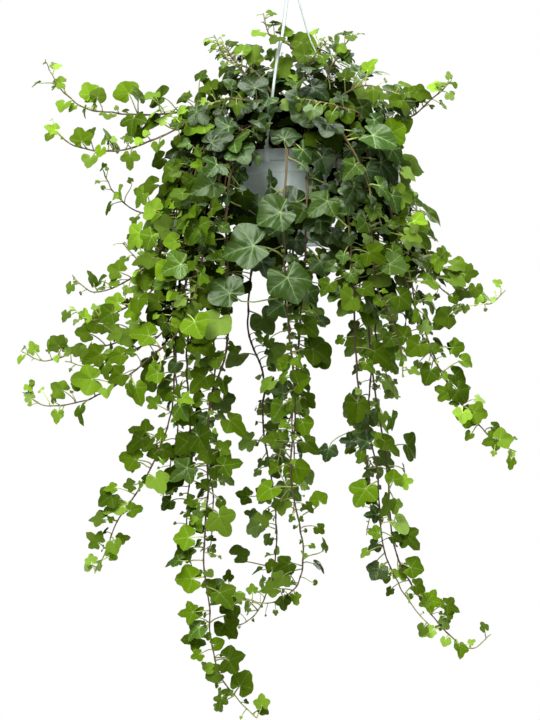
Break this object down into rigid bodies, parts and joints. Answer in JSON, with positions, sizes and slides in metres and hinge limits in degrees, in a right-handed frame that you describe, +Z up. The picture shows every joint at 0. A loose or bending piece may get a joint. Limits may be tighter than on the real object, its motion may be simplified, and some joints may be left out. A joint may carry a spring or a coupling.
{
  "type": "hanging potted english ivy",
  "caption": "Trailing English ivy with lobed leaves on long hanging stems, in a round plastic pot on a moulded three-strap hanger with a hook.",
  "frame": {"origin": "the seat inside the top of the hook, where the hanging pot is carried", "axes": "+Z up along the hanging direction, +X to the right and -Y towards the front that the picture shows"},
  "size_m": [0.8006, 0.4338, 1.2489],
  "materials": {
    "pot_plastic": "grey-blue moulded plastic, fine speckle",
    "hanger_plastic": "pale grey moulded plastic",
    "potting_soil": "dark crumbly potting soil",
    "crown_foliage": "glossy dark leaves with pale veins, brown-green stems",
    "strand_foliage": "satin mid-green leaves with pale veins, brown-green stems"
  },
  "bodies": {
    "root": {"pot": "pot_plastic", "hanger": "hanger_plastic", "soil": "potting_soil", "vine_long_left": "strand_foliage", "vine_left_companion": "strand_foliage", "vine_under_pot": "strand_foliage", "vine_front_long": "strand_foliage", "vine_front_companion": "strand_foliage", "vine_right_long": "strand_foliage", "vine_right_companion": "strand_foliage", "vine_lower_left": "strand_foliage", "vine_left_fan_lowest": "strand_foliage", "vine_left_fan_low": "strand_foliage", "vine_left_fan_middle": "strand_foliage", "vine_left_fan_high": "strand_foliage", "vine_left_fan_far": "strand_foliage", "vine_left_whip": "strand_foliage", "vine_left_low_stub": "strand_foliage", "vine_right_fan_long": "strand_foliage", "vine_right_fan_inner": "strand_foliage", "vine_right_fan_middle": "strand_foliage", "vine_right_whip": "strand_foliage", "vine_right_short": "strand_foliage", "vine_top_right": "strand_foliage", "vine_top_left_high": "strand_foliage", "vine_top_left_low": "strand_foliage", "vine_top_center": "strand_foliage", "vine_top_tall": "strand_foliage", "vine_top_front": "strand_foliage", "vine_back_left_long": "strand_foliage", "vine_back_right_long": "strand_foliage", "vine_back_left_fan": "strand_foliage", "vine_back_middle_long": "strand_foliage", "vine_back_right_fan": "strand_foliage", "vine_back_right_short": "strand_foliage", "vine_back_middle_short": "strand_foliage", "vine_crown_01": "crown_foliage", "vine_crown_02": "crown_foliage", "vine_crown_03": "crown_foliage", "vine_crown_04": "crown_foliage", "vine_crown_05": "crown_foliage", "vine_crown_06": "crown_foliage", "vine_crown_07": "crown_foliage", "vine_crown_08": "crown_foliage", "vine_crown_09": "crown_foliage", "vine_crown_10": "crown_foliage", "vine_crown_11": "crown_foliage", "vine_crown_12": "crown_foliage", "vine_crown_13": "crown_foliage", "vine_crown_14": "crown_foliage", "vine_crown_15": "crown_foliage", "vine_crown_16": "crown_foliage", "vine_crown_17": "crown_foliage", "vine_crown_18": "crown_foliage"}
  },
  "joints": []
}
